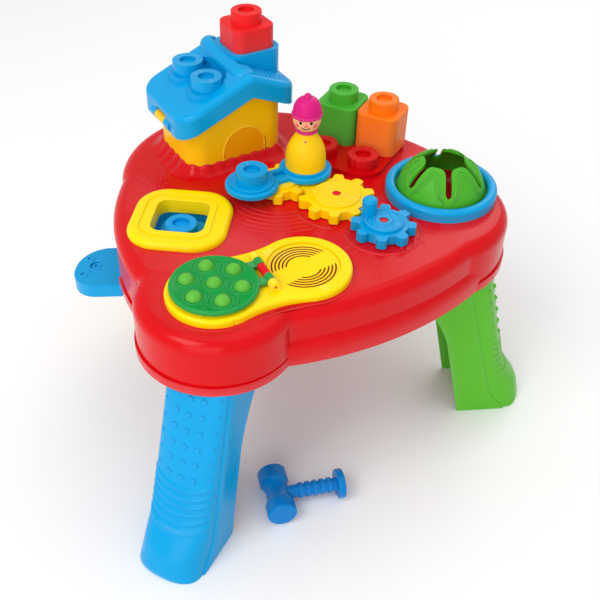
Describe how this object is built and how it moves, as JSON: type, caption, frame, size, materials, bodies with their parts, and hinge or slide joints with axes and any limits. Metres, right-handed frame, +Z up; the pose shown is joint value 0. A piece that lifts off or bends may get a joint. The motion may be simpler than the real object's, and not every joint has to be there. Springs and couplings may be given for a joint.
{
  "type": "toddler activity table",
  "caption": "Three-legged toddler activity table with shape sorter and chute, little house, meshing gears, carousel, music pad, petal dome, soft stacking blocks and a toy hammer.",
  "frame": {"origin": "on the floor, under the middle of the whole set's bounding box", "axes": "+Z up; +X to the right and +Y away from someone facing the side with the music pad, as the picture's camera does"},
  "size_m": [0.5212, 0.5146, 0.418],
  "materials": {
    "table_red": "smooth moulded plastic",
    "leg_blue": "smooth moulded plastic",
    "leg_green": "smooth moulded plastic",
    "leg_yellow": "smooth moulded plastic",
    "steel": "zinc plated",
    "frame_yellow": "smooth moulded plastic",
    "chute_blue": "smooth moulded plastic",
    "block_blue": "soft satin rubber",
    "block_green": "soft satin rubber",
    "block_orange": "soft satin rubber",
    "block_red": "soft satin rubber",
    "house_yellow": "smooth moulded plastic",
    "roof_blue": "smooth moulded plastic",
    "bowl_red": "smooth moulded plastic",
    "petal_green": "soft flexible petals",
    "ring_blue": "smooth moulded plastic",
    "pad_yellow": "smooth moulded plastic",
    "lid_green": "smooth moulded plastic",
    "pin_red": "smooth moulded plastic",
    "button_red": "smooth moulded plastic",
    "dark_plastic": "matt moulded plastic",
    "board_green": "solder-masked board",
    "switch_rubber": "translucent rubber",
    "speaker_black": "black pressed steel and paper",
    "battery_jacket": "plain printed jacket",
    "axle_red": "smooth moulded plastic",
    "gear_yellow": "smooth moulded plastic",
    "gear_blue": "smooth moulded plastic",
    "arm_blue": "smooth moulded plastic",
    "doll_yellow": "satin vinyl",
    "doll_skin": "satin vinyl",
    "doll_magenta": "satin vinyl",
    "hammer_blue": "smooth moulded plastic"
  },
  "bodies": {
    "table": {"tabletop_shell": "table_red", "front_leg": "leg_blue", "right_leg": "leg_green", "back_leg": "leg_yellow", "leg_screws": "steel", "sorter_frame": "frame_yellow", "chute": "chute_blue", "house_walls": "house_yellow", "dome_bowl": "bowl_red", "petal_dome": "petal_green", "dome_ring": "ring_blue", "music_plate": "pad_yellow", "lid_hinge_pin": "pin_red", "electronics_tray": "dark_plastic", "circuit_board": "board_green", "push_switch": "switch_rubber", "loudspeaker": "speaker_black", "batteries": "battery_jacket", "battery_door": "dark_plastic", "gear_axles": "axle_red"},
    "roof": {"house_roof": "roof_blue", "roof_hinge_pin": "steel"},
    "chimney": {"chimney_block": "block_red"},
    "lid": {"bubble_lid": "lid_green"},
    "button": {"sound_button": "button_red"},
    "carousel": {"carousel_gear": "gear_yellow", "carousel_arm": "arm_blue"},
    "middle_wheel": {"middle_gear": "gear_yellow"},
    "crank": {"crank_gear": "gear_blue"},
    "doll": {"doll_body": "doll_yellow", "doll_head": "doll_skin", "doll_cap": "doll_magenta"},
    "green_brick": {"green_block": "block_green"},
    "orange_brick": {"orange_block": "block_orange"},
    "sorter_brick": {"sorter_block": "block_blue"},
    "hammer": {"hammer_head": "hammer_blue", "hammer_handle": "hammer_blue"}
  },
  "joints": [
    {"name": "roof_hinge", "type": "hinge", "parent": "table", "child": "roof", "pos_m": [-0.16317, 0.12159, 0.319], "axis": [0.4848, -0.8746, 0], "range_deg": [0, 100]},
    {"name": "lid_hinge", "type": "hinge", "parent": "table", "child": "lid", "pos_m": [-0.05144, -0.09514, 0.2748], "axis": [-0.3991, 0.9169, 0], "range_deg": [0, 155]},
    {"name": "button_press", "type": "slide", "parent": "table", "child": "button", "axis": [0, 0, -1], "range_m": [0, 0.0025], "stiffness_N_per_m": 300, "springref_m": -0.002},
    {"name": "carousel_spin", "type": "hinge", "parent": "table", "child": "carousel", "pos_m": [-0.0352, 0.0665, 0.262], "axis": [0, 0, 1], "continuous": true},
    {"name": "middle_spin", "type": "hinge", "parent": "table", "child": "middle_wheel", "pos_m": [0.02577, 0.03755, 0.262], "axis": [0, 0, 1], "continuous": true},
    {"name": "crank_spin", "type": "hinge", "parent": "table", "child": "crank", "pos_m": [0.07068, -0.01285, 0.262], "axis": [0, 0, 1], "continuous": true},
    {"name": "chimney_lift", "type": "slide", "parent": "roof", "child": "chimney", "axis": [0, 0, 1], "range_m": [0, 0.08]},
    {"name": "doll_lift", "type": "slide", "parent": "carousel", "child": "doll", "axis": [0, 0, 1], "range_m": [0, 0.06]},
    {"name": "green_block_lift", "type": "slide", "parent": "table", "child": "green_brick", "axis": [0, 0, 1], "range_m": [0, 0.08]},
    {"name": "orange_block_lift", "type": "slide", "parent": "table", "child": "orange_brick", "axis": [0, 0, 1], "range_m": [0, 0.08]},
    {"name": "sorter_block_lift", "type": "slide", "parent": "table", "child": "sorter_brick", "axis": [0, 0, 1], "range_m": [0, 0.1]},
    {"name": "hammer_lift", "type": "slide", "parent": "table", "child": "hammer", "axis": [0, 0, 1], "range_m": [0, 0.15]}
  ],
  "couplings": [
    {"joint": "middle_spin", "follows": "carousel_spin", "ratio": -0.8},
    {"joint": "crank_spin", "follows": "carousel_spin", "ratio": 1}
  ]
}
